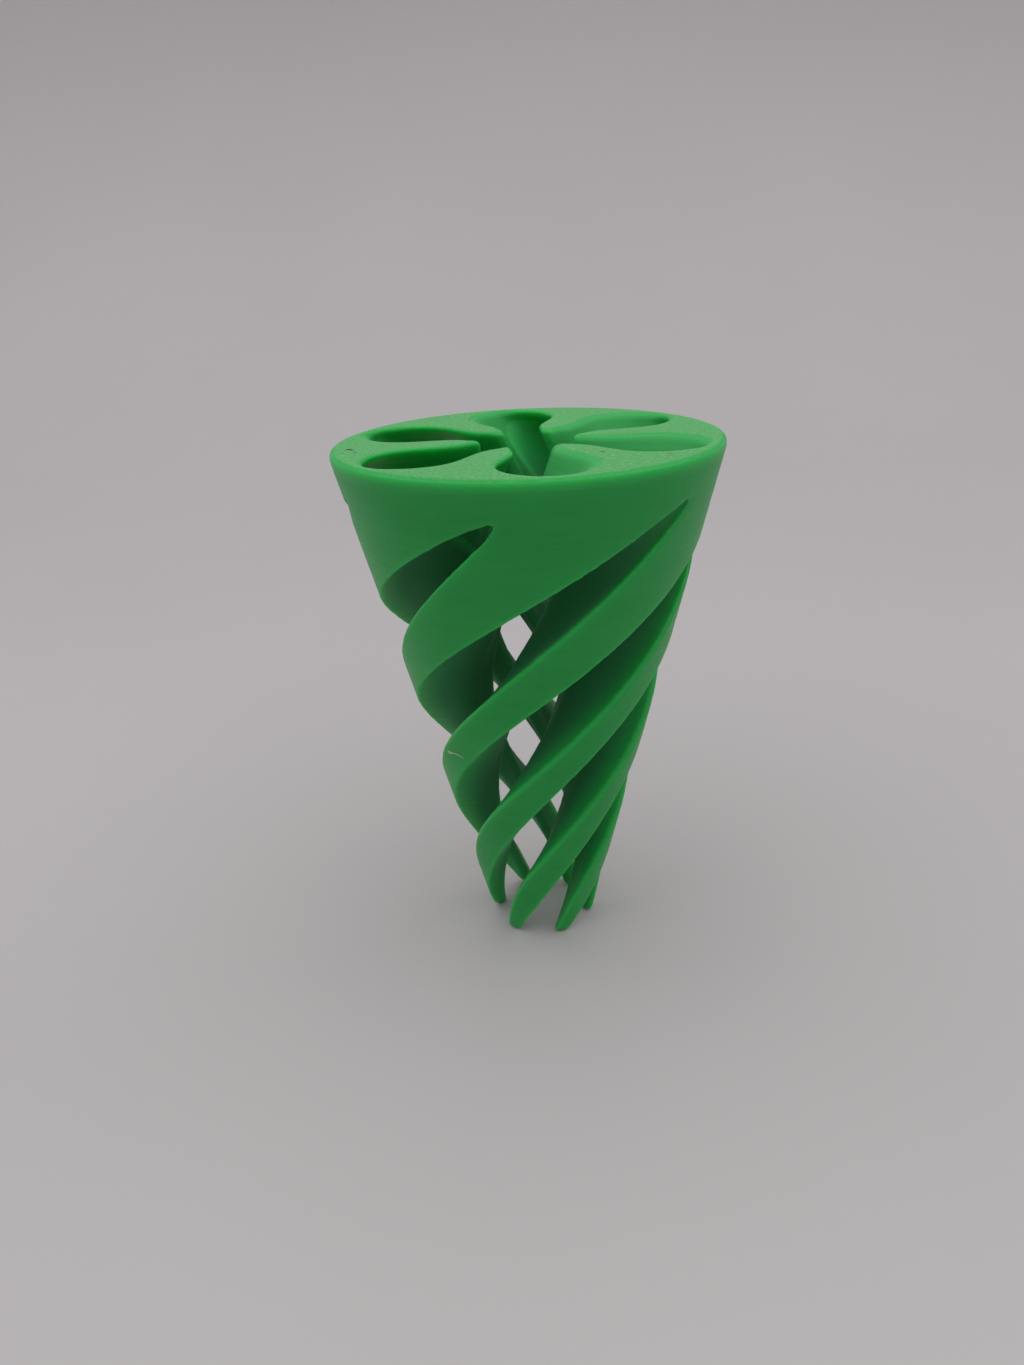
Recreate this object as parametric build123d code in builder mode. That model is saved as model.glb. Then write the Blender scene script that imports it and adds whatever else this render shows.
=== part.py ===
from build123d import *
import math
import os

os.makedirs("parts", exist_ok=True)

# Vertical-axis wind rotor: a hollow cone of six twisted blades hanging from a slotted crown.
# The axis is +Z, the origin is on the axis in the plane of the six lower tips. Millimetres.

HEIGHT = 100.0            # tips to top face
TOP_RADIUS = 35.0         # outer radius at the top face
TIP_RADIUS = 10.0         # outer radius in the plane of the tips
BLADES = 6                # number of blades
TWIST = 263.0             # turn of every blade from the tips to the top face, right handed
BLADE_AZIMUTH = 8.0       # azimuth of the first blade's centre line in the top face

CROWN_BOTTOM = 92.0       # level where the crown ends and the free blades begin
RIM_EDGE = 1.2            # rounded upper outer edge of the crown

CENTRE_RADIUS = 8.5       # the round passage up the middle, it trims the blades' noses
NOSE_RADIUS = 8.3         # point of a blade's nose before that trim
SLOT_END_RADIUS = 33.2    # closed outer end of a slot between two blades
OUTSIDE = 40.0            # trimming radius, outside everything

# One blade side: (distance along the blade's centre line, half thickness)
SIDE = [
    (9.9, 1.45),
    (11.6, 2.60),
    (14.0, 3.40),
    (18.0, 3.80),
    (21.3, 4.20),
    (23.8, 5.10),
    (26.2, 6.90),
    (28.1, 9.45),
    (29.1, 12.10),
    (29.35, 13.90),
    (29.20, 15.40),
]

PITCH_ANGLE = 360.0 / BLADES
HALF = PITCH_ANGLE / 2


def outer_radius(z):
    """Radius of the cone that trims the rotor."""
    return TIP_RADIUS + (TOP_RADIUS - TIP_RADIUS) * z / HEIGHT


def polar(radius, angle):
    """Point at a radius and an azimuth in degrees."""
    return (radius * math.cos(math.radians(angle)), radius * math.sin(math.radians(angle)))


def turned(point, angle):
    """Point turned about the axis by an angle in degrees."""
    c, s = math.cos(math.radians(angle)), math.sin(math.radians(angle))
    return (point[0] * c - point[1] * s, point[0] * s + point[1] * c)


def blade_face(azimuth):
    """Section of one blade with its flare out to the closed ends of the two slots."""
    ends = (SLOT_END_RADIUS * math.cos(math.radians(HALF)),
            SLOT_END_RADIUS * math.sin(math.radians(HALF)))
    upper = [(NOSE_RADIUS, 0.0)] + SIDE + [ends]
    lower = [(x, -y) for x, y in upper]
    with BuildSketch(Plane.XY) as face:
        with BuildLine():
            Spline(*[turned(p, azimuth) for p in upper],
                   tangents=[turned((0, 1), azimuth), polar(1, azimuth + HALF + 90)])
            Spline(*[turned(p, azimuth) for p in lower],
                   tangents=[turned((0, -1), azimuth), polar(1, azimuth - HALF - 90)])
            Line(turned(ends, azimuth), polar(OUTSIDE, azimuth + HALF))
            Line(turned((ends[0], -ends[1]), azimuth), polar(OUTSIDE, azimuth - HALF))
            ThreePointArc(polar(OUTSIDE, azimuth + HALF), polar(OUTSIDE, azimuth),
                          polar(OUTSIDE, azimuth - HALF))
        make_face()
    return face.sketch.faces()[0]


def slot_face(azimuth):
    """Section of the opening between two blades, from its closed end into the open centre."""
    side = [(NOSE_RADIUS, 0.0)] + SIDE
    near = [turned(p, azimuth - HALF) for p in side]
    far = [turned((x, -y), azimuth + HALF) for x, y in side]
    inner = NOSE_RADIUS - 2.0
    with BuildSketch(Plane.XY) as face:
        with BuildLine():
            Spline(*(near + [polar(SLOT_END_RADIUS, azimuth)] + far[::-1]),
                   tangents=[turned((0, 1), azimuth - HALF), turned((0, 1), azimuth + HALF)])
            Line(near[0], polar(inner, azimuth - HALF))
            Line(far[0], polar(inner, azimuth + HALF))
            ThreePointArc(polar(inner, azimuth - HALF), polar(inner, azimuth),
                          polar(inner, azimuth + HALF))
        make_face()
    return face.sketch.faces()[0]


# First blade: the section turns steadily while it rises, the cone trims the outside.
blade_twist = TWIST * CROWN_BOTTOM / HEIGHT
twisted_blade = Solid.extrude_linear_with_rotation(
    blade_face(BLADE_AZIMUTH - TWIST), (0, 0, 0), (0, 0, CROWN_BOTTOM), blade_twist)
with BuildPart() as first_blade:
    add(twisted_blade)
    with BuildSketch(Plane.XZ):
        with BuildLine():
            Polyline((0, 0), (outer_radius(0), 0), (outer_radius(CROWN_BOTTOM), CROWN_BOTTOM),
                     (0, CROWN_BOTTOM), close=True)
        make_face()
    revolve(axis=Axis.Z, mode=Mode.INTERSECT)
    Cylinder(CENTRE_RADIUS, HEIGHT, align=(Align.CENTER, Align.CENTER, Align.MIN),
             mode=Mode.SUBTRACT)

# The other blades are the same body, each turned by one pitch.
for number in range(BLADES):
    with BuildPart() as blade:
        add(first_blade.part, rotation=(0, 0, number * PITCH_ANGLE))
    blade.part.label = "blade_%d" % (number + 1)
    export_step(blade.part, "parts/blade_%d.step" % (number + 1))

# Crown: closed rim and slotted top in one body. The slots go on turning at the rate of the blades
# and open into the round passage in the middle.
crown_twist = TWIST * (HEIGHT - CROWN_BOTTOM) / HEIGHT
with BuildPart() as crown:
    with BuildSketch(Plane.XZ):
        with BuildLine():
            Polyline((0, CROWN_BOTTOM), (outer_radius(CROWN_BOTTOM), CROWN_BOTTOM),
                     (TOP_RADIUS, HEIGHT), (0, HEIGHT), close=True)
        make_face()
    revolve(axis=Axis.Z)
    fillet(crown.edges().filter_by(GeomType.CIRCLE).sort_by(Axis.Z)[-1], radius=RIM_EDGE)
    with Locations((0, 0, CROWN_BOTTOM)):
        Cylinder(CENTRE_RADIUS, HEIGHT - CROWN_BOTTOM,
                 align=(Align.CENTER, Align.CENTER, Align.MIN), mode=Mode.SUBTRACT)
    for number in range(BLADES):
        twisted_slot = Solid.extrude_linear_with_rotation(
            slot_face(BLADE_AZIMUTH + HALF - crown_twist + number * PITCH_ANGLE),
            (0, 0, 0), (0, 0, HEIGHT - CROWN_BOTTOM), crown_twist)
        add(Pos(0, 0, CROWN_BOTTOM) * twisted_slot, mode=Mode.SUBTRACT)
crown.part.label = "crown"
export_step(crown.part, "parts/crown.step")
print("blade", first_blade.part.is_valid, len(first_blade.part.solids()), first_blade.part.volume)
print("crown", crown.part.is_valid, len(crown.part.solids()), crown.part.volume)
print(crown.part.bounding_box())
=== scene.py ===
import math

import bmesh
import bpy
import numpy as np
from mathutils import Matrix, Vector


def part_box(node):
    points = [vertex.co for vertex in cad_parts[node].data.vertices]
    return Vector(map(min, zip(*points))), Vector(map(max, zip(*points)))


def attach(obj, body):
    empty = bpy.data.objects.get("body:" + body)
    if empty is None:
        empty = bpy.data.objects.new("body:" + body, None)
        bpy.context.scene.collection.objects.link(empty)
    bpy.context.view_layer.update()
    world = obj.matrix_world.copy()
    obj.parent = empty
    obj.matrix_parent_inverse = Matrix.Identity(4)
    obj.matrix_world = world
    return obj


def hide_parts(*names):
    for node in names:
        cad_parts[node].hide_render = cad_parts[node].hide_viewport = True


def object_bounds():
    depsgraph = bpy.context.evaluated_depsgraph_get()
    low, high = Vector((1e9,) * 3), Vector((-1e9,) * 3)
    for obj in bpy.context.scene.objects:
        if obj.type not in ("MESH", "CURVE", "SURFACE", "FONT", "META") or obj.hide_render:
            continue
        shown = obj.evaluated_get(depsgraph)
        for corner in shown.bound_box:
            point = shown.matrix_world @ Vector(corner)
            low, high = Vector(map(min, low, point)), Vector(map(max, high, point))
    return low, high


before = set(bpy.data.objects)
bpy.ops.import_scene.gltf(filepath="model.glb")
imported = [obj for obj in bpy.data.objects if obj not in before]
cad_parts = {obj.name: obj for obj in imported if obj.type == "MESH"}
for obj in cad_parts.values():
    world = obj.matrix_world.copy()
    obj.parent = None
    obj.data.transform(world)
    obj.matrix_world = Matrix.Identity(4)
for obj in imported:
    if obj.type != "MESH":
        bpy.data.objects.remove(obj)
CAD_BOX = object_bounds()

# The rotor is one function of x, y and z in millimetres, negative inside the plastic. Its surface
# is meshed once, sorted into the pieces of the CAD, and cut where the crown meets the blades.

# ---------------------------------------------------------------- the rotor's shape, millimetres
MM = 0.001
HEIGHT = round((CAD_BOX[1][2] - CAD_BOX[0][2]) / MM, 3)
CROWN_BOTTOM = round(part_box("crown")[0][2] / MM, 3)
TOP_RADIUS = 35.0
TIP_RADIUS = 10.4
BLADES = 6
TWIST = math.radians(263)
BLADE_ANGLE = math.radians(8)   # of the first blade in the top face
FOOT_EASE = math.radians(5)     # the helix is this much short of even at the feet
FOOT_RADIUS = 9.3               # middle of a foot
CENTRE_RADIUS = 8.25            # no plastic closer to the axis
NOSE_RADIUS = 8.05
SLOT_END_RADIUS = 32.85
END_TUCK = 0.7                  # the slots end this much further in at the top face
# a blade's side from its nose to the slot's end: along its centre line and across it
SIDE = [(9.9, 1.45), (11.6, 2.60), (14.0, 3.40), (18.0, 3.80), (21.3, 4.20), (23.8, 5.10),
        (26.2, 6.90), (28.1, 9.44), (29.0, 12.05), (29.2, 13.78), (28.95, 15.22)]

# how far the rounding of each kind of printed edge reaches
UPPER_EDGE = 1.4                # a blade's upper outer edge is soft
LOWER_EDGE = 0.5                # and its lower one crisp
RIM_EDGE = 1.7
SLOT_EDGE = 1.4
FOOT_EDGE = 1.4
NOSE_EDGE = 0.6
UPPER_SWELL = 0.25              # a blade's upper side stands out by this, to make up for the rounding

LAYER_NOISE = np.random.default_rng(7).normal(size=400)
LAYER_PITCH = 0.7               # between two values of the noise
LAYER_UNEVENNESS = 0.013

# painted glow in the colour at the rim and the outer edges, standing in for light that comes out of the
# plastic there: its strength, and how far it reaches
EDGE_GLOW, EDGE_GLOW_REACH = 0.55, 0.9
RIM_GLOW, RIM_GLOW_FULL, RIM_GLOW_REACH = 0.7, 0.8, 2.8

CELL = 0.36    # of the grid that the surface is meshed on
RELAX_ROUNDS = 3
SLOPE_STEP = 0.10

HALF_PITCH = math.pi / BLADES
TWIST_RATE = TWIST / HEIGHT
CONE_SLOPE = (TOP_RADIUS - TIP_RADIUS) / HEIGHT
foot_drop = 0.0                 # how far below zero the feet are cut off flat, worked out further down


def fade(value, start, end):
    """0 at start, 1 at end, straight between them and level beyond."""
    return np.clip((value - start) / (end - start), 0, 1)


def smooth_max(a, b, reach):
    """The larger of the two, rounded where they are nearly equal."""
    h = np.clip(0.5 + 0.5 * (a - b) / reach, 0, 1)
    return b + (a - b) * h + reach * h * (1 - h)


def spline(points, start_dir, end_dir, count):
    """Clamped cubic through the points, sampled evenly in its parameter."""
    p = np.array(points, float)
    n = len(p)
    step = np.hypot(*np.diff(p, axis=0).T)
    t = np.concatenate([[0.0], np.cumsum(step)])
    a = np.zeros((n, n))
    b = np.zeros((n, 2))
    a[0, 0] = a[-1, -1] = 1.0
    b[0], b[-1] = start_dir, end_dir
    for i in range(1, n - 1):
        h0, h1 = step[i - 1], step[i]
        a[i, i - 1], a[i, i], a[i, i + 1] = h1, 2 * (h0 + h1), h0
        b[i] = 3 * (h1 * (p[i] - p[i - 1]) / h0 + h0 * (p[i + 1] - p[i]) / h1)
    m = np.linalg.solve(a, b)
    out = []
    for s in np.linspace(0, t[-1], count):
        i = min(int(np.searchsorted(t, s, side="right")) - 1, n - 2)
        h = step[i]
        u = (s - t[i]) / h
        out.append((2 * u**3 - 3 * u**2 + 1) * p[i] + (u**3 - 2 * u**2 + u) * h * m[i]
                   + (-2 * u**3 + 3 * u**2) * p[i + 1] + (u**3 - u**2) * h * m[i + 1])
    return np.array(out)


def blade_outline():
    """A blade's side in plan, carried on by its mirror images past both ends, so that the distance
    to it is right there too."""
    c, s = math.cos(HALF_PITCH), math.sin(HALF_PITCH)
    slot_end = (SLOT_END_RADIUS * c, SLOT_END_RADIUS * s)
    side = spline([(NOSE_RADIUS, 0.0)] + SIDE + [slot_end], (0, 1), (-s, c), 260)
    c, s = math.cos(2 * HALF_PITCH), math.sin(2 * HALF_PITCH)
    across_slot = np.array([[c, s], [s, -c]])
    before = (side * [1, -1])[:60][::-1][:-1]
    after = (side @ across_slot.T)[::-1][1:60]
    return np.concatenate([before, side, after])


def distance_table(outline):
    """Distance to a blade's side on a grid of radius and angle from the blade's centre line.
    Negative in the material, and divided by the slope of the twisted wall."""
    radii = np.linspace(0.0, 42.0, 421)
    angles = np.linspace(0.0, HALF_PITCH, 181)
    rr, aa = np.meshgrid(radii, angles, indexing="ij")
    q = np.stack([(rr * np.cos(aa)).ravel(), (rr * np.sin(aa)).ravel()], 1)
    best = np.full(len(q), 1e9)
    sign = np.ones(len(q))
    for a, b in zip(outline, outline[1:]):
        d = b - a
        u = np.clip(((q - a) @ d) / (d @ d), 0, 1)
        v = q - a - u[:, None] * d
        distance = np.hypot(v[:, 0], v[:, 1])
        m = distance < best
        best[m] = distance[m]
        sign[m] = np.where(d[0] * (q[m, 1] - a[1]) - d[1] * (q[m, 0] - a[0]) > 0, 1.0, -1.0)
    table = (best * sign).reshape(rr.shape)
    per_angle = np.gradient(table, angles, axis=1)
    return radii[1], angles[1], table / np.sqrt(1 + (TWIST_RATE * per_angle) ** 2)


RADIUS_STEP, ANGLE_STEP, TABLE = distance_table(blade_outline())


def look_up(r, a):
    """The table's distance, read between its grid points."""
    fr = np.clip(r / RADIUS_STEP, 0, TABLE.shape[0] - 1.001)
    fa = np.clip(a / ANGLE_STEP, 0, TABLE.shape[1] - 1.001)
    i, j = fr.astype(np.int32), fa.astype(np.int32)
    u, v = fr - i, fa - j
    return ((TABLE[i, j] * (1 - u) + TABLE[i + 1, j] * u) * (1 - v)
            + (TABLE[i, j + 1] * (1 - u) + TABLE[i + 1, j + 1] * u) * v)


def unevenness(z):
    """How far the surface wanders from layer to layer."""
    s = np.clip((z + 5) / LAYER_PITCH, 0, len(LAYER_NOISE) - 1.1)
    i = s.astype(np.int32)
    u = s - i
    u = u * u * (3 - 2 * u)
    return LAYER_UNEVENNESS * (LAYER_NOISE[i] * (1 - u) + LAYER_NOISE[i + 1] * u)


def turn_from_blade(x, y, z):
    """Angle from the centre line of the first blade at that height."""
    ease = FOOT_EASE * fade(z, HEIGHT, 0) ** 3
    return np.arctan2(y, x) - BLADE_ANGLE - TWIST_RATE * (z - HEIGHT) - ease


def walls(x, y, z):
    """Distances to a blade's sides, to the cone and to the top face, and the rounding to use."""
    r = np.hypot(x, y)
    across = (turn_from_blade(x, y, z) + HALF_PITCH) % (2 * HALF_PITCH) - HALF_PITCH
    upper = 0.5 - 0.5 * np.sin(math.pi * across / HALF_PITCH)    # 1 on a blade's upper side, 0 below
    near_top = fade(z, HEIGHT - 4, HEIGHT - 1)
    tuck = END_TUCK * near_top * fade(r, 25, 31)
    side = look_up(r + tuck, np.abs(across)) - UPPER_SWELL * upper
    side = smooth_max(side, CENTRE_RADIUS - r, NOSE_EDGE)
    cone = (r - TIP_RADIUS - CONE_SLOPE * z) / math.sqrt(1 + CONE_SLOPE**2)
    edge = LOWER_EDGE + (UPPER_EDGE - LOWER_EDGE) * upper
    return side, cone, z - HEIGHT, edge + (SLOT_EDGE - edge) * near_top


def field(x, y, z):
    """Negative inside the rotor, and about the distance to its surface."""
    side, cone, top, edge = walls(x, y, z)
    f = smooth_max(side, smooth_max(cone, top, RIM_EDGE), edge)
    f = f + unevenness(z) * fade(z, HEIGHT, HEIGHT - 2)
    return smooth_max(f, -z - foot_drop, FOOT_EDGE)


def painted_edge_glow(x, y, z):
    """How much painted glow goes into the colour: most at the rim and the outer edges, 0 on plain faces.
    """
    side, cone, top, _ = walls(x, y, z)
    on_edge = fade(np.abs(side - np.maximum(cone, top)), EDGE_GLOW_REACH, 0)
    on_rim = fade(np.abs(cone - top), RIM_GLOW_REACH, RIM_GLOW_FULL) * (top < cone + 0.3)
    return np.maximum(EDGE_GLOW * on_edge, RIM_GLOW * on_rim)


def slope(points):
    """Gradient of the field at each point."""
    out = np.empty_like(points)
    for axis in range(3):
        d = np.zeros(3)
        d[axis] = SLOPE_STEP
        out[:, axis] = (field(*(points + d).T) - field(*(points - d).T)) / (2 * SLOPE_STEP)
    return out


# ---------------------------------------------------------------- meshing
def net_points(f, solid):
    """One point in each grid cell that the surface crosses, and each cell's point number."""
    nx, ny, nz = f.shape
    total = np.zeros((nx - 1, ny - 1, nz - 1), np.int8)
    corners = [(i, j, k) for i in (0, 1) for j in (0, 1) for k in (0, 1)]
    for i, j, k in corners:
        total += solid[i:nx - 1 + i, j:ny - 1 + j, k:nz - 1 + k]
    ii, jj, kk = np.nonzero((total > 0) & (total < 8))
    index = np.full(total.shape, -1, np.int64)
    index[ii, jj, kk] = np.arange(len(ii))
    place = np.zeros((len(ii), 3))
    crossings = np.zeros(len(ii))
    for a in corners:
        for axis in range(3):
            if a[axis]:
                continue
            b = list(a)
            b[axis] = 1
            fa = f[ii + a[0], jj + a[1], kk + a[2]].astype(float)
            fb = f[ii + b[0], jj + b[1], kk + b[2]].astype(float)
            m = (fa < 0) != (fb < 0)
            t = fa[m] / (fa[m] - fb[m])
            place[m] += np.array(a, float) + t[:, None] * (np.array(b) - np.array(a))
            crossings[m] += 1
    return place / crossings[:, None] + np.stack([ii, jj, kk], 1), index


def net_quads(solid, index):
    """One quad for each grid edge that the surface crosses, facing outwards."""
    quads = []
    for axis in range(3):
        u, v = [(1, 2), (2, 0), (0, 1)][axis]
        lower = [slice(None)] * 3
        upper = [slice(None)] * 3
        lower[axis], upper[axis] = slice(0, -1), slice(1, None)
        a, b = solid[tuple(lower)], solid[tuple(upper)]
        cut = np.array(np.nonzero(a != b)).T
        for side in (u, v):
            cut = cut[(cut[:, side] > 0) & (cut[:, side] < solid.shape[side] - 1)]
        inside = a[cut[:, 0], cut[:, 1], cut[:, 2]]
        ring = []
        for du, dv in ((-1, -1), (0, -1), (0, 0), (-1, 0)):
            c = cut.copy()
            c[:, u] += du
            c[:, v] += dv
            ring.append(index[c[:, 0], c[:, 1], c[:, 2]])
        ring = np.stack(ring, 1)
        ring[~inside] = ring[~inside][:, ::-1]
        quads.append(ring)
    return np.concatenate(quads)


def surface_net(low, counts):
    """Vertices and quads of the zero surface of the field on a regular grid."""
    gx, gy, gz = (low[axis] + CELL * np.arange(counts[axis]) for axis in range(3))
    xx, yy = np.meshgrid(gx, gy, indexing="ij")
    f = np.empty(counts, np.float32)
    for k in range(len(gz)):
        f[:, :, k] = field(xx, yy, np.full_like(xx, gz[k]))
    solid = f < 0
    place, index = net_points(f, solid)
    return np.array(low) + place * CELL, net_quads(solid, index)


def relax(points, quads):
    """Evens out the quads and puts every vertex back on the surface."""
    edges = np.concatenate([quads[:, [i, (i + 1) % 4]] for i in range(4)])
    n = len(points)
    degree = np.bincount(edges.ravel(), minlength=n).astype(float)
    for _ in range(RELAX_ROUNDS):
        mean = np.zeros_like(points)
        for axis in range(3):
            mean[:, axis] = (np.bincount(edges[:, 0], points[edges[:, 1], axis], n)
                             + np.bincount(edges[:, 1], points[edges[:, 0], axis], n)) / degree
        points = points + 0.5 * (mean - points)
        for _ in range(2):
            g = slope(points)
            points = points - (field(*points.T) / np.maximum((g * g).sum(1), 0.05))[:, None] * g
    return points


def lowest_point():
    """Height of the lowest point of a rounded foot."""
    angle = BLADE_ANGLE - TWIST + FOOT_EASE
    around = np.linspace(-3, 3, 61)
    x, y, z = np.meshgrid(FOOT_RADIUS * math.cos(angle) + around, FOOT_RADIUS * math.sin(angle) + around,
                          np.linspace(-0.5, 1.5, 101), indexing="ij")
    return z[field(x, y, z) < 0].min()


def rotor_surface():
    """Vertices and quads of the whole rotor."""
    margin = 2 * CELL
    width = 2 * TOP_RADIUS + 2 * margin
    counts = tuple(math.ceil(s / CELL) + 1 for s in (width, width, HEIGHT + 2 * margin))
    points, quads = surface_net((-TOP_RADIUS - margin, -TOP_RADIUS - margin, -margin), counts)
    return relax(points, quads), quads


# ---------------------------------------------------------------- pieces
def link_object(name, mesh, material):
    """A new object in the scene, with one material."""
    mesh.materials.append(material)
    made = bpy.data.objects.new(name, mesh)
    bpy.context.scene.collection.objects.link(made)
    return made


def part_mesh(points, quads, above):
    """A closed bmesh of the quads, cut off at the crown's bottom. above says which side stays."""
    used, inverse = np.unique(quads, return_inverse=True)
    mesh = bpy.data.meshes.new("work")
    mesh.from_pydata(points[used].tolist(), [], inverse.reshape(quads.shape).tolist())
    bm = bmesh.new()
    bm.from_mesh(mesh)
    bpy.data.meshes.remove(mesh)
    bmesh.ops.bisect_plane(bm, geom=bm.verts[:] + bm.edges[:] + bm.faces[:], dist=1e-6,
                           plane_co=(0, 0, CROWN_BOTTOM), plane_no=(0, 0, 1),
                           clear_inner=above, clear_outer=not above)
    rim = [e for e in bm.edges if e.is_boundary]
    caps = bmesh.ops.holes_fill(bm, edges=rim, sides=0)["faces"]
    bmesh.ops.recalc_face_normals(bm, faces=bm.faces[:])
    bmesh.ops.triangulate(bm, faces=[f for f in caps if f.is_valid])
    return bm


def set_normals(mesh, points):
    """Gives each corner the field's own normal, except on the flat cut."""
    g = slope(points)
    g /= np.linalg.norm(g, axis=1)[:, None]
    corners = np.empty(len(mesh.loops), np.int64)
    mesh.loops.foreach_get("vertex_index", corners)
    normals = g[corners]
    count = len(mesh.polygons)
    flat = np.empty(count * 3)
    mesh.polygons.foreach_get("normal", flat)
    size = np.empty(count, np.int64)
    mesh.polygons.foreach_get("loop_total", size)
    flat = flat.reshape(-1, 3)[np.repeat(np.arange(count), size)]
    off = (normals * flat).sum(1) < 0.5
    normals[off] = flat[off]
    mesh.polygons.foreach_set("use_smooth", np.ones(count, bool))
    mesh.normals_split_custom_set(normals.tolist())


def finish_piece(name, bm, material, node):
    """Scales to metres, stores the painted edge glow and normals, and hangs the piece on the body."""
    for v in bm.verts:
        v.co *= MM
    mesh = bpy.data.meshes.new(name)
    bm.to_mesh(mesh)
    bm.free()
    points = np.empty(len(mesh.vertices) * 3)
    mesh.vertices.foreach_get("co", points)
    points = points.reshape(-1, 3) / MM
    # painted glow for the colour, strongest at the rim and the outer edges
    light = mesh.attributes.new("painted_edge_glow", "FLOAT", "POINT")
    light.data.foreach_set("value", painted_edge_glow(*points.T).astype(np.float32))
    set_normals(mesh, points)
    piece = link_object(name, mesh, material)
    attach(piece, "root")
    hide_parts(node)


# ---------------------------------------------------------------- material helpers
def new_material(name):
    mat = bpy.data.materials.new(name)
    mat.use_nodes = True
    nt = mat.node_tree
    nt.nodes.clear()
    out = nt.nodes.new("ShaderNodeOutputMaterial")
    bsdf = nt.nodes.new("ShaderNodeBsdfPrincipled")
    nt.links.new(bsdf.outputs[0], out.inputs[0])
    return mat, nt, bsdf


def feed(nt, socket, value):
    """Links the socket to another node's output, or sets it to a number, vector or colour."""
    if isinstance(value, bpy.types.NodeSocket):
        nt.links.new(value, socket)
    elif socket.type == "RGBA":
        socket.default_value = (*value, 1)
    else:
        socket.default_value = value


def math_node(nt, operation, a, b=0.0):
    n = nt.nodes.new("ShaderNodeMath")
    n.operation = operation
    feed(nt, n.inputs[0], a)
    feed(nt, n.inputs[1], b)
    return n.outputs[0]


def vector_node(nt, operation, a, b=(0, 0, 0)):
    n = nt.nodes.new("ShaderNodeVectorMath")
    n.operation = operation
    feed(nt, n.inputs[0], a)
    feed(nt, n.inputs[1], b)
    return n.outputs["Value" if operation in ("LENGTH", "DISTANCE") else "Vector"]


def weighted(nt, *terms):
    """Sum of sockets, each times its own factor."""
    parts = [math_node(nt, "MULTIPLY", socket, factor) for socket, factor in terms]
    total = parts[0]
    for part in parts[1:]:
        total = math_node(nt, "ADD", total, part)
    return total


def fade_node(nt, value, start, end):
    """The same as fade(), for a socket."""
    n = nt.nodes.new("ShaderNodeMapRange")
    feed(nt, n.inputs["Value"], value)
    n.inputs["From Min"].default_value = start
    n.inputs["From Max"].default_value = end
    return n.outputs[0]


def noise(nt, vector, scale, detail=3.0, stretch=None):
    if stretch:
        m = nt.nodes.new("ShaderNodeMapping")
        m.inputs["Scale"].default_value = stretch
        nt.links.new(vector, m.inputs["Vector"])
        vector = m.outputs[0]
    n = nt.nodes.new("ShaderNodeTexNoise")
    n.inputs["Scale"].default_value = scale
    n.inputs["Detail"].default_value = detail
    nt.links.new(vector, n.inputs["Vector"])
    return n.outputs["Fac"]


def ramp(nt, fac, stops):
    n = nt.nodes.new("ShaderNodeValToRGB")
    while len(n.color_ramp.elements) < len(stops):
        n.color_ramp.elements.new(0.5)
    for element, (position, colour) in zip(n.color_ramp.elements, stops):
        element.position = position
        element.color = (*colour, 1)
    nt.links.new(fac, n.inputs[0])
    return n.outputs[0]


def mix_colour(nt, fac, a, b):
    n = nt.nodes.new("ShaderNodeMix")
    n.data_type = "RGBA"
    feed(nt, n.inputs[0], fac)
    feed(nt, n.inputs[6], a)
    feed(nt, n.inputs[7], b)
    return n.outputs[2]


def mix_number(nt, fac, a, b):
    n = nt.nodes.new("ShaderNodeMix")
    feed(nt, n.inputs[0], fac)
    feed(nt, n.inputs[2], a)
    feed(nt, n.inputs[3], b)
    return n.outputs[0]


# ---------------------------------------------------------------- green plastic, metres
PRINT_LAYER = 0.00028
GREENS = [(0.30, (0.016, 0.340, 0.066)), (0.5, (0.020, 0.378, 0.077)), (0.70, (0.025, 0.415, 0.090))]
# the top face's colour, paler than the sides: partly dust, partly a painted sheen of the light above
TOP_DUST_AND_SHEEN = [(0.35, (0.062, 0.335, 0.090)), (0.55, (0.100, 0.385, 0.125)), (0.75, (0.185, 0.450, 0.205))]
# painted shade: the inner walls are coloured darker than the outer skin
PAINTED_SHADE_GREEN = (0.046, 0.235, 0.108)
# painted glow: the rim and the outer edges are coloured lighter
PAINTED_GLOW_GREEN = (0.048, 0.510, 0.120)
SCUFF_GREEN = (0.10, 0.42, 0.16)
TOP_ROUGHNESS = 0.78
# dirt in the top face: place and radius in millimetres, and colour
DARK, BROWN, PALE = (0.004, 0.012, 0.005), (0.13, 0.12, 0.045), (0.20, 0.46, 0.22)
SPECKS = [(-30.85, -4.72, 0.50, DARK), (-30.2, -5.7, 0.26, DARK), (-29.3, -7.6, 0.26, DARK),
          (-31.2, -8.2, 0.18, DARK), (-28.6, -8.9, 0.2, PALE), (-23.0, -20.5, 0.24, DARK),
          (12.2, -15.9, 0.42, BROWN), (22.5, -19.8, 0.32, BROWN), (13.6, -19.4, 0.26, PALE),
          (-6.5, -21.0, 0.16, PALE), (20.3, 14.2, 0.2, BROWN)]


def layer_relief(nt, coord, height, strip, patch):
    """Height of the fine layer lines and of the unevenness over them."""
    line = math_node(nt, "SINE", math_node(nt, "MULTIPLY", height, 2 * math.pi / PRINT_LAYER))
    grain = noise(nt, coord, 2600.0, 2.0)
    return weighted(nt, (line, 0.10), (strip, 0.9), (grain, 0.12), (patch, 0.5))


# marks the inner walls for their painted shade and their higher roughness
def inside_mask(nt, coord, height):
    """1 on walls well inside the cone and well below the top face, 0 on the outer skin."""
    radius = vector_node(nt, "LENGTH", vector_node(nt, "MULTIPLY", coord, (1, 1, 0)))
    skin = math_node(nt, "ADD", math_node(nt, "MULTIPLY", height, CONE_SLOPE), TIP_RADIUS * MM)
    depth = math_node(nt, "SUBTRACT", skin, radius)
    return math_node(nt, "MULTIPLY", fade_node(nt, depth, 0.0012, 0.0052),
                     fade_node(nt, height, 0.095, 0.083))


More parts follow.
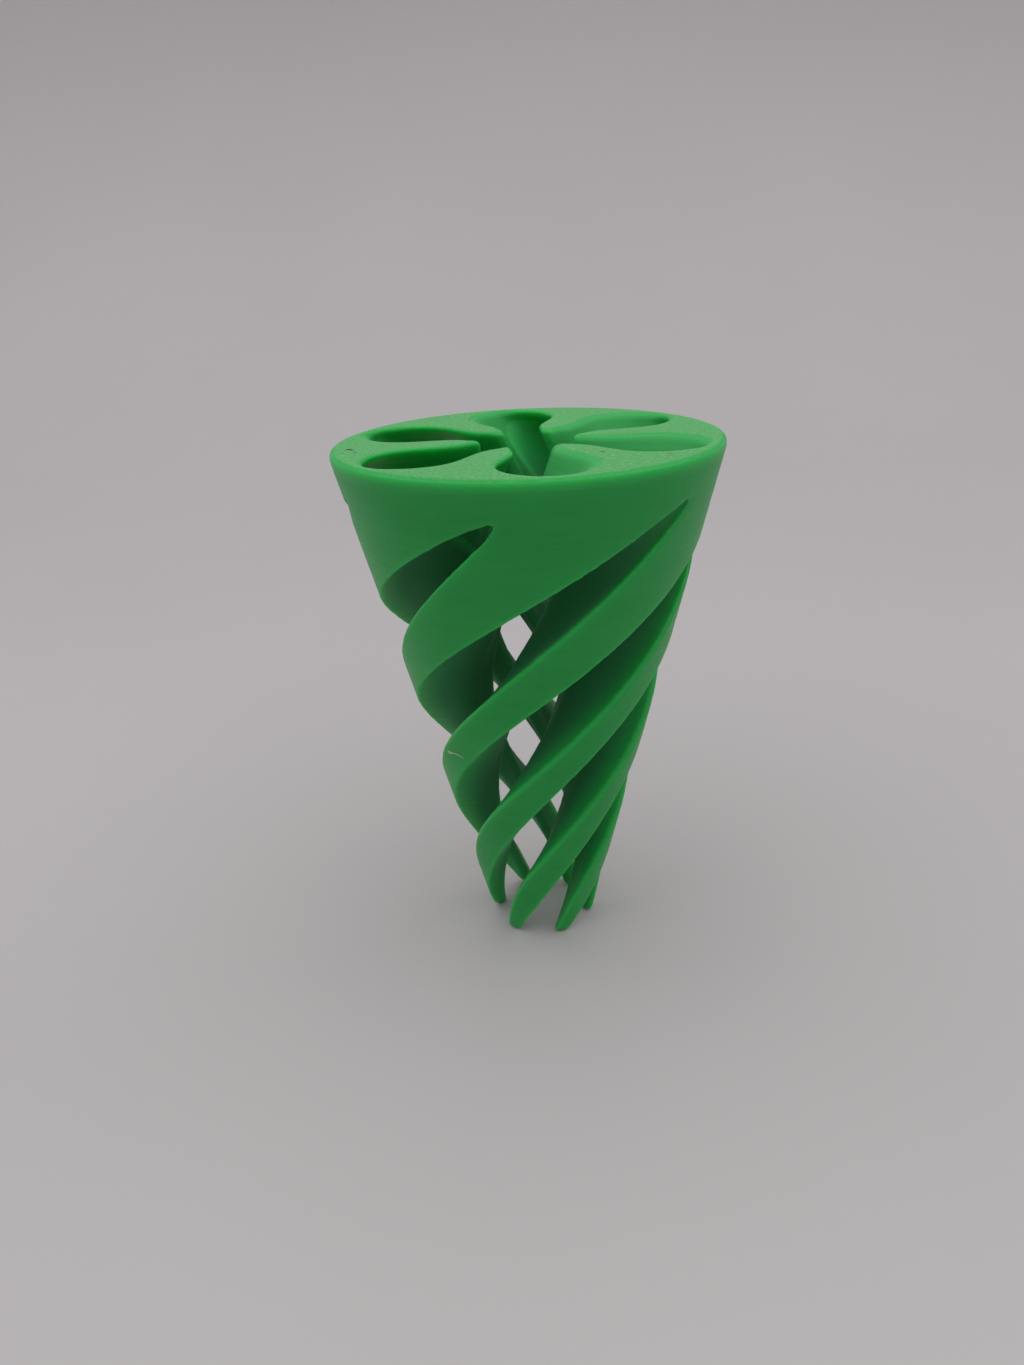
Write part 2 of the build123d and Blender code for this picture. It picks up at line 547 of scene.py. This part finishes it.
def skin_colour(nt, coord, strip, patch, inner):
    """Green in slow patches, with painted shade on the inner walls, a painted glow on the edges, and
    pale scuffs.
    """
    cloud = noise(nt, coord, 45.0, 4.0)
    colour = ramp(nt, weighted(nt, (strip, 0.35), (patch, 0.30), (cloud, 0.35)), GREENS)
    # painted shade on the inner walls
    colour = mix_colour(nt, math_node(nt, "MULTIPLY", inner, 0.75), colour, PAINTED_SHADE_GREEN)
    # painted glow on the rim and the outer edges
    light = nt.nodes.new("ShaderNodeAttribute")
    light.attribute_name = "painted_edge_glow"
    colour = mix_colour(nt, light.outputs["Fac"], colour, PAINTED_GLOW_GREEN)
    scuff = fade_node(nt, noise(nt, coord, 1.0, 2.0, (420, 420, 260)), 0.70, 0.95)
    return mix_colour(nt, math_node(nt, "MULTIPLY", scuff, 0.5), colour, SCUFF_GREEN)


def speckled(nt, coord, colour):
    """The colour with the specks of dirt over it."""
    for x, y, radius, tint in SPECKS:
        gap = vector_node(nt, "DISTANCE", coord, (x * MM, y * MM, HEIGHT * MM))
        near = fade_node(nt, gap, 1.6 * radius * MM, 0.6 * radius * MM)
        colour = mix_colour(nt, near, colour, tint)
    return colour


def with_top_face(nt, coord, height, relief, colour, rough):
    """The three with the pebbled and matte top face over them, its colour paler from dust and from a
    painted sheen of the light above.
    """
    on_top = fade_node(nt, height, (HEIGHT - 0.12) * MM, (HEIGHT - 0.0367) * MM)
    pebbles = weighted(nt, (noise(nt, coord, 2300.0, 2.0), 0.9), (noise(nt, coord, 900.0, 2.0), 0.5))
    # paler top face: partly dust, partly painted sheen
    dust_and_sheen = ramp(nt, noise(nt, coord, 1500.0, 4.0), TOP_DUST_AND_SHEEN)
    return (mix_number(nt, on_top, relief, pebbles),
            speckled(nt, coord, mix_colour(nt, on_top, colour, dust_and_sheen)),
            mix_number(nt, on_top, rough, TOP_ROUGHNESS))


def let_light_through(nt, bsdf, height):
    """Light travels far in the plastic, but less far next to the cut between crown and blades,
    where the hidden faces of the cut would show as a dark line."""
    bsdf.inputs["Subsurface Weight"].default_value = 0.80
    bsdf.inputs["Subsurface Radius"].default_value = (0.16, 1.0, 0.35)
    from_cut = math_node(nt, "ABSOLUTE", math_node(nt, "SUBTRACT", height, CROWN_BOTTOM * MM))
    scale = mix_number(nt, fade_node(nt, from_cut, 0.0004, 0.0064), 0.0004, 0.0046)
    nt.links.new(scale, bsdf.inputs["Subsurface Scale"])


def green_plastic(name, top_face):
    """Printed green plastic with a soft sheen, and a pebbled matte top face if it has one."""
    mat, nt, bsdf = new_material(name)
    coord = nt.nodes.new("ShaderNodeTexCoord").outputs["Object"]
    split = nt.nodes.new("ShaderNodeSeparateXYZ")
    nt.links.new(coord, split.inputs[0])
    height = split.outputs[2]
    strip = noise(nt, coord, 1.0, 2.0, (60, 60, 2600))
    patch = noise(nt, coord, 1.0, 3.0, (110, 110, 420))
    inner = inside_mask(nt, coord, height)
    relief = layer_relief(nt, coord, height, strip, patch)
    colour = skin_colour(nt, coord, strip, patch, inner)
    rough = math_node(nt, "ADD", weighted(nt, (strip, 0.14), (inner, 0.22)), 0.36)
    if top_face:
        relief, colour, rough = with_top_face(nt, coord, height, relief, colour, rough)
    bump = nt.nodes.new("ShaderNodeBump")
    bump.inputs["Strength"].default_value = 0.5
    bump.inputs["Distance"].default_value = 0.00006
    nt.links.new(relief, bump.inputs["Height"])
    nt.links.new(bump.outputs[0], bsdf.inputs["Normal"])
    nt.links.new(colour, bsdf.inputs["Base Color"])
    nt.links.new(rough, bsdf.inputs["Roughness"])
    bsdf.inputs["Specular IOR Level"].default_value = 0.25
    let_light_through(nt, bsdf, height)
    return mat


# ---------------------------------------------------------------- the rotor
side_plastic = green_plastic("green_plastic_sides", False)
crown_plastic = green_plastic("green_plastic_crown", True)

for attempt in range(3):        # cutting a foot off moves its rounding, so this settles in steps
    foot_drop += lowest_point()
points, quads = rotor_surface()
centre = points[quads].mean(1)
lowest = points[quads][:, :, 2].min(1)
highest = points[quads][:, :, 2].max(1)
member = np.round(turn_from_blade(*centre.T) / (2 * HALF_PITCH)).astype(int) % BLADES

bm = part_mesh(points, quads[highest > CROWN_BOTTOM], True)
finish_piece("crown_print", bm, crown_plastic, "crown")
for number in range(BLADES):
    bm = part_mesh(points, quads[(lowest < CROWN_BOTTOM) & (member == number)], False)
    finish_piece("blade_%d_print" % (number + 1), bm, side_plastic,
                 "blade_%d" % (number + 1))


# ---------------------------------------------------------------- a stray strand of plastic
# along the strand: azimuth in degrees, height and half width in millimetres
STRAND = [(-142.2, 45.15, 0.05), (-141.4, 45.12, 0.20), (-140.2, 45.05, 0.34), (-139.0, 45.05, 0.30),
          (-137.8, 45.25, 0.16), (-135.9, 45.45, 0.13), (-132.7, 45.42, 0.13), (-130.6, 45.25, 0.11),
          (-129.4, 45.10, 0.05)]
STRAND_FLATNESS = 0.55


def strand_plastic():
    mat, nt, bsdf = new_material("pale_strand")
    coord = nt.nodes.new("ShaderNodeTexCoord").outputs["Object"]
    colour = ramp(nt, noise(nt, coord, 2500.0), [(0.3, (0.30, 0.50, 0.27)), (0.7, (0.52, 0.70, 0.46))])
    nt.links.new(colour, bsdf.inputs["Base Color"])
    bsdf.inputs["Roughness"].default_value = 0.6
    return mat


def strand():
    """A blob and a thread left on the outer face of a blade."""
    around = 10
    bm = bmesh.new()
    rings = []
    for azimuth, z, half in STRAND:
        a = math.radians(azimuth)
        ring = []
        for i in range(around):
            b = 2 * math.pi * i / around
            r = TIP_RADIUS + CONE_SLOPE * z + STRAND_FLATNESS * half * math.cos(b)
            rise = half * math.sin(b)
            ring.append(bm.verts.new((r * math.cos(a) * MM, r * math.sin(a) * MM, (z + rise) * MM)))
        rings.append(ring)
    for p, q in zip(rings, rings[1:]):
        for i in range(around):
            bm.faces.new((p[i], p[(i + 1) % around], q[(i + 1) % around], q[i]))
    bm.faces.new(rings[0][::-1])
    bm.faces.new(rings[-1])
    bmesh.ops.recalc_face_normals(bm, faces=bm.faces[:])
    mesh = bpy.data.meshes.new("stray_strand")
    bm.to_mesh(mesh)
    bm.free()
    mesh.polygons.foreach_set("use_smooth", np.ones(len(mesh.polygons), bool))
    piece = link_object("stray_strand", mesh, strand_plastic())
    smooth = piece.modifiers.new("smooth", "SUBSURF")
    smooth.levels = smooth.render_levels = 2
    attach(piece, "root")


strand()


# ---------------------------------------------------------------- stage, metres
def stage_material():
    mat, nt, bsdf = new_material("pale_floor")
    coord = nt.nodes.new("ShaderNodeTexCoord").outputs["Object"]
    colour = ramp(nt, noise(nt, coord, 6.0, 3.0),
                  [(0.3, (0.530, 0.505, 0.513)), (0.7, (0.545, 0.520, 0.528))])
    nt.links.new(colour, bsdf.inputs["Base Color"])
    bsdf.inputs["Roughness"].default_value = 0.55
    return mat


def sweep():
    """Floor that curves up into a back wall."""
    front, back, bend, high, half_width, steps = -1.6, 0.75, 0.35, 1.8, 3.0, 16
    line = [(front, 0.0), (back - bend, 0.0)]
    for i in range(1, steps + 1):
        a = math.pi / 2 * i / steps
        line.append((back - bend + bend * math.sin(a), bend - bend * math.cos(a)))
    line.append((back, high))
    verts = [(x, y, z) for y, z in line for x in (-half_width, half_width)]
    faces = [(2 * i, 2 * i + 1, 2 * i + 3, 2 * i + 2) for i in range(len(line) - 1)]
    mesh = bpy.data.meshes.new("floor")
    mesh.from_pydata(verts, [], faces)
    mesh.polygons.foreach_set("use_smooth", np.ones(len(faces), bool))
    floor = link_object("floor", mesh, stage_material())


def placed(axes, place):
    """Matrix of an object with these local axes at this place."""
    return Matrix([[axis[i] for axis in axes] + [place[i]] for i in range(3)] + [[0, 0, 0, 1]])


def top_light():
    """One wide soft light overhead, aimed halfway up the rotor."""
    data = bpy.data.lights.new("top_light", "AREA")
    data.shape = "RECTANGLE"
    data.size, data.size_y = 3.0, 2.6
    data.energy = 27.0
    place = np.array((0.0, 0.10, 1.0))
    away = place - (0, 0, HEIGHT * MM / 2)
    away /= np.linalg.norm(away)
    side = np.cross((0, 0, 1), away)
    side /= np.linalg.norm(side)
    lamp = bpy.data.objects.new("top_light", data)
    bpy.context.scene.collection.objects.link(lamp)
    lamp.matrix_world = placed((side, np.cross(away, side), away), place)


def surroundings():
    """Even light from all sides, which fills the shadows."""
    world = bpy.data.worlds.new("studio")
    bpy.context.scene.world = world
    world.use_nodes = True
    background = world.node_tree.nodes["Background"]
    background.inputs[0].default_value = (0.80, 0.785, 0.79, 1)
    background.inputs[1].default_value = 0.22


sweep()
top_light()
surroundings()

# ---------------------------------------------------------------- camera
FOCAL_MM = 26.25                # on a sensor 36 mm high
DISTANCE = 0.1961               # from the rotor's mid height
ELEVATION = math.radians(24.50)
PAN = 0.02388
TILT = 0.01287
ROLL = 0.03635


def turned(axis, angle, v):
    """The vector turned about the axis."""
    return (v * math.cos(angle) + np.cross(axis, v) * math.sin(angle)
            + axis * np.dot(axis, v) * (1 - math.cos(angle)))


def add_camera():
    """Aimed at the rotor's mid height from in front and above, then panned, tilted and rolled."""
    ahead = np.array((0, math.cos(ELEVATION), -math.sin(ELEVATION)))
    right = np.array((1.0, 0, 0))
    up = np.cross(right, ahead)
    ahead, right = turned(up, PAN, ahead), turned(up, PAN, right)
    ahead, up = turned(right, TILT, ahead), turned(right, TILT, up)
    right, up = turned(ahead, ROLL, right), turned(ahead, ROLL, up)
    eye = (0, -DISTANCE * math.cos(ELEVATION), HEIGHT * MM / 2 + DISTANCE * math.sin(ELEVATION))
    data = bpy.data.cameras.new("camera")
    data.lens = FOCAL_MM
    data.sensor_width = 36.0
    data.clip_start = 0.01
    camera = bpy.data.objects.new("camera", data)
    bpy.context.scene.collection.objects.link(camera)
    camera.matrix_world = placed((right, up, -ahead), eye)
    bpy.context.scene.camera = camera


add_camera()
bpy.context.scene.view_settings.view_transform = "Standard"
